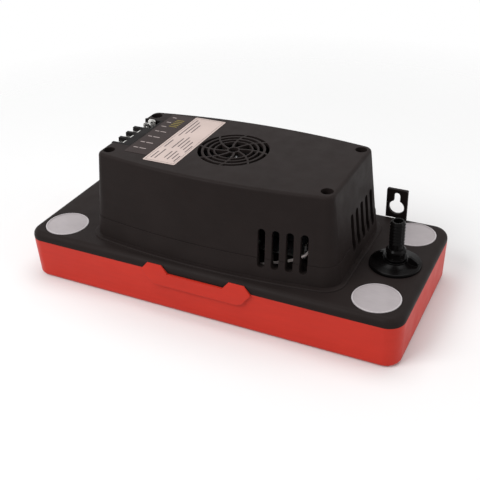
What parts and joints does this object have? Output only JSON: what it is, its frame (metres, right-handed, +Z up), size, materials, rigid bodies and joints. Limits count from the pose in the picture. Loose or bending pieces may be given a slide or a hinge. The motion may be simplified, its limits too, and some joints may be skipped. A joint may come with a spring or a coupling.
{
  "type": "condensate pump",
  "caption": "Low condensate pump: red tank, black lift-off deck with a vented motor housing, keyhole hangers, inlet plugs and a ribbed discharge barb.",
  "frame": {"origin": "centre of the tank's underside", "axes": "+X along the tank towards the discharge end, +Y to the back where the hanging tabs are, +Z up"},
  "size_m": [0.292, 0.13, 0.105],
  "materials": {
    "tank_red": "satin red moulded polystyrene",
    "black_plastic": "black moulding with a fine grain",
    "terminal_plastic": "black moulding",
    "tin_plate": "tin plated brass blades",
    "black_rubber": "black rubber",
    "zinc_steel": "zinc plated steel",
    "lamination_steel": "stacked steel laminations",
    "nylon": "natural nylon",
    "winding_tape": "taped copper winding",
    "cast_alloy": "die cast alloy",
    "bronze": "sintered bronze",
    "pump_plastic": "black glass filled plastic",
    "switch_plastic": "dark phenolic",
    "shaft_steel": "ground steel",
    "rotor_alloy": "cast rotor",
    "float_foam": "closed cell foam",
    "valve_plastic": "glossy black moulding",
    "cap_grey": "satin grey moulding"
  },
  "bodies": {
    "tank": {"tank": "tank_red"},
    "head": {"deck": "black_plastic", "hanger_left": "black_plastic", "hanger_right": "black_plastic", "motor_cover": "black_plastic", "cover_screws": "zinc_steel", "terminal_block": "terminal_plastic", "spade_terminals": "tin_plate", "cord_grommet": "black_rubber", "stator_stack": "lamination_steel", "coil_bobbin": "switch_plastic", "coil_winding": "winding_tape", "upper_bridge": "cast_alloy", "lower_bridge": "cast_alloy", "shaft_bushes": "bronze", "motor_bolts": "zinc_steel", "motor_spacers": "zinc_steel", "motor_bracket": "zinc_steel", "bracket_screws": "zinc_steel", "volute_body": "pump_plastic", "volute_screws": "zinc_steel", "suction_plate": "pump_plastic", "discharge_hose": "black_rubber", "float_pivot_pin": "zinc_steel", "switch_bracket": "zinc_steel", "run_switch": "switch_plastic", "overflow_switch": "switch_plastic", "switch_screws": "zinc_steel", "switch_spacers": "nylon"},
    "rotor": {"motor_shaft": "shaft_steel", "rotor_core": "rotor_alloy", "cooling_fan": "pump_plastic", "water_slinger": "black_rubber", "impeller": "nylon"},
    "float_lever": {"float": "float_foam", "float_arm": "nylon"},
    "push_rod": {"push_rod": "nylon"},
    "run_lever": {"run_lever": "zinc_steel"},
    "overflow_lever": {"overflow_lever": "zinc_steel"},
    "discharge_valve": {"check_valve": "valve_plastic", "valve_seal": "black_rubber"},
    "valve_ball": {"valve_ball": "nylon"},
    "cap_front_left": {"inlet_cap_front_left": "cap_grey"},
    "cap_front_right": {"inlet_cap_front_right": "cap_grey"},
    "cap_rear_right": {"inlet_cap_rear_right": "cap_grey"}
  },
  "joints": [
    {"name": "head_lift", "type": "slide", "parent": "tank", "child": "head", "axis": [0, 0, 1], "range_m": [0, 0.045]},
    {"name": "rotor_spin", "type": "hinge", "parent": "head", "child": "rotor", "pos_m": [0.001, 0, 0.05], "axis": [0, 0, 1], "continuous": true},
    {"name": "float_swing", "type": "hinge", "parent": "head", "child": "float_lever", "pos_m": [-0.04, 0, 0.029], "axis": [0, 1, 0], "range_deg": [0, 10]},
    {"name": "rod_push", "type": "slide", "parent": "head", "child": "push_rod", "axis": [0, 0, 1], "range_m": [0, 0.00264]},
    {"name": "run_lever_swing", "type": "hinge", "parent": "head", "child": "run_lever", "pos_m": [-0.07, 0.00935, 0.0604], "axis": [0, -1, 0], "range_deg": [0, 9.4]},
    {"name": "overflow_lever_swing", "type": "hinge", "parent": "head", "child": "overflow_lever", "pos_m": [-0.07, -0.00935, 0.0604], "axis": [0, -1, 0], "range_deg": [0, 8], "stiffness_Nm_per_rad": 0.01},
    {"name": "valve_twist", "type": "hinge", "parent": "head", "child": "discharge_valve", "pos_m": [0.1225, 0, 0.04], "axis": [0, 0, 1], "range_deg": [0, 60]},
    {"name": "ball_lift", "type": "slide", "parent": "discharge_valve", "child": "valve_ball", "axis": [0, 0, 1], "range_m": [0, 0.003]},
    {"name": "front_left_cap_pull", "type": "slide", "parent": "head", "child": "cap_front_left", "axis": [0, 0, 1], "range_m": [0, 0.012]},
    {"name": "front_right_cap_pull", "type": "slide", "parent": "head", "child": "cap_front_right", "axis": [0, 0, 1], "range_m": [0, 0.012]},
    {"name": "rear_right_cap_pull", "type": "slide", "parent": "head", "child": "cap_rear_right", "axis": [0, 0, 1], "range_m": [0, 0.012]}
  ],
  "couplings": [
    {"joint": "rod_push", "follows": "float_swing", "m_per_rad": 0.015},
    {"joint": "run_lever_swing", "follows": "float_swing", "ratio": 0.9375}
  ]
}
